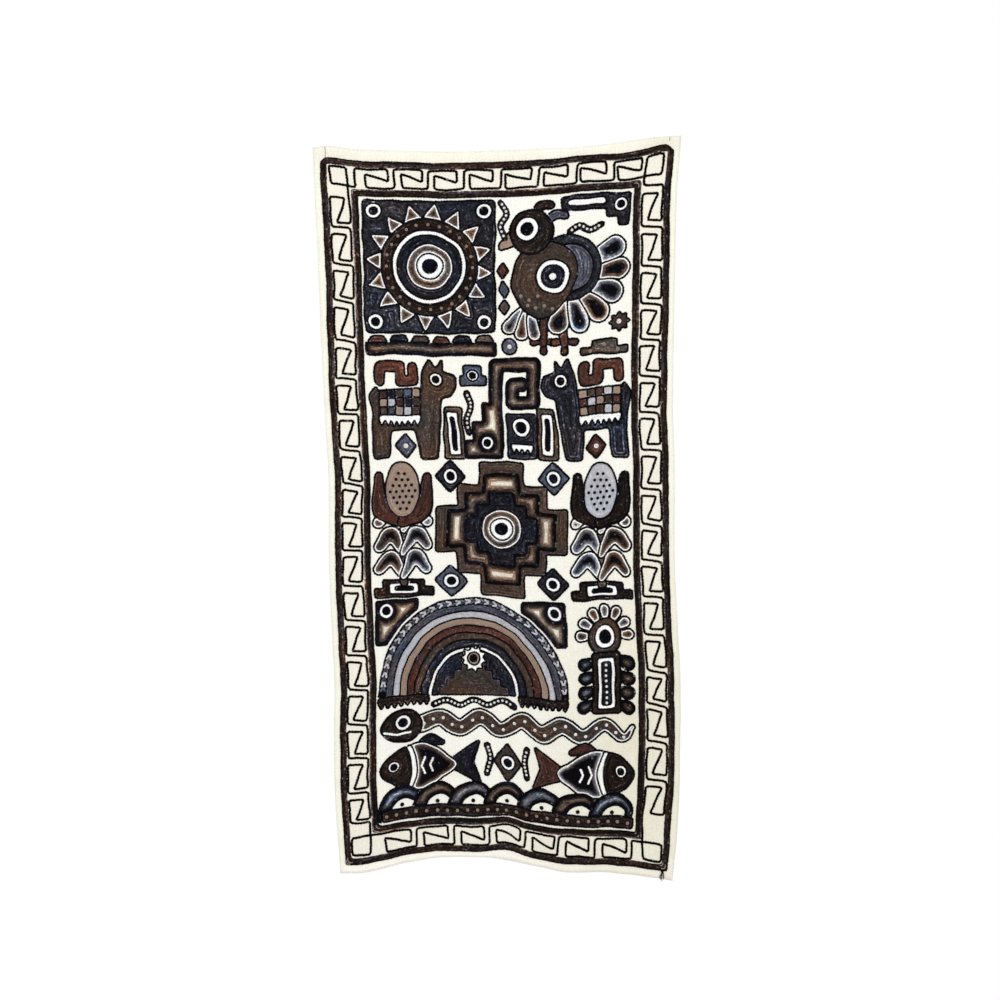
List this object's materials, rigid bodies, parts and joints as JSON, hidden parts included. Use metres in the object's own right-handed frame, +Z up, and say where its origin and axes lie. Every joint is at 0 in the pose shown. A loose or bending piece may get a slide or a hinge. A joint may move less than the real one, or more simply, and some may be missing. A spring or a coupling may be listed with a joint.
{
  "type": "embroidered wall hanging",
  "caption": "Tall cream cloth hung by its top corners, chain stitched in dark wool with a fret border between two bands and a picture field.",
  "frame": {"origin": "middle of the cloth's top edge, on its face", "axes": "+X to the viewer's right, +Y into the wall, +Z up"},
  "size_m": [0.9053, 0.0679, 1.8341],
  "materials": {
    "ground_cloth": "matt",
    "brown_yarn": "matt",
    "black_yarn": "matt",
    "coloured_yarn": "matt"
  },
  "bodies": {
    "root": {"ground_cloth": "ground_cloth", "outer_band": "brown_yarn", "inner_band": "brown_yarn", "fret_line": "black_yarn", "yarn_tails": "black_yarn"}
  },
  "joints": []
}
